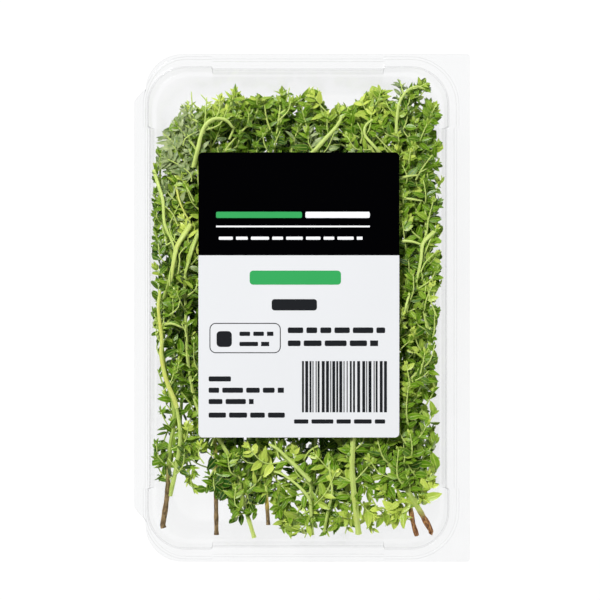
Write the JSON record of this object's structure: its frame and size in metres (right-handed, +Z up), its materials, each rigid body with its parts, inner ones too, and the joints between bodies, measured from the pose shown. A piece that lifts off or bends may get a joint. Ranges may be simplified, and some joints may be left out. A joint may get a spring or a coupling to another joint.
{
  "type": "thyme bundle in a clear hinged punnet",
  "caption": "Flat clear punnet with a lid hinged along one long side and a bare two-tone label, packed with loose cut thyme sprigs.",
  "frame": {"origin": "on the ground under the middle of the punnet", "axes": "+Y along the punnet from the cut stem ends to the leafy tips, +Z up through the lid, +X towards the hinge"},
  "size_m": [0.1192, 0.1804, 0.03],
  "materials": {
    "clear_plastic": "gloss",
    "label_paper": "satin",
    "thyme": "satin"
  },
  "bodies": {
    "base": {"punnet_base": "clear_plastic", "thyme_sprig_01": "thyme", "thyme_sprig_02": "thyme", "thyme_sprig_03": "thyme", "thyme_sprig_04": "thyme", "thyme_sprig_05": "thyme", "thyme_sprig_06": "thyme", "thyme_sprig_07": "thyme", "thyme_sprig_08": "thyme", "thyme_sprig_09": "thyme", "thyme_sprig_10": "thyme", "thyme_sprig_11": "thyme", "thyme_sprig_12": "thyme", "thyme_sprig_13": "thyme", "thyme_sprig_14": "thyme", "thyme_sprig_15": "thyme", "thyme_sprig_16": "thyme", "thyme_sprig_17": "thyme", "thyme_sprig_18": "thyme", "thyme_sprig_19": "thyme", "thyme_sprig_20": "thyme", "thyme_sprig_21": "thyme", "thyme_sprig_22": "thyme", "thyme_sprig_23": "thyme", "thyme_sprig_24": "thyme"},
    "lid": {"punnet_lid": "clear_plastic", "label": "label_paper"}
  },
  "joints": [
    {"name": "lid_hinge", "type": "hinge", "parent": "base", "child": "lid", "pos_m": [0.0599, 0, 0.02215], "axis": [0, 1, 0], "range_deg": [0, 180]}
  ]
}
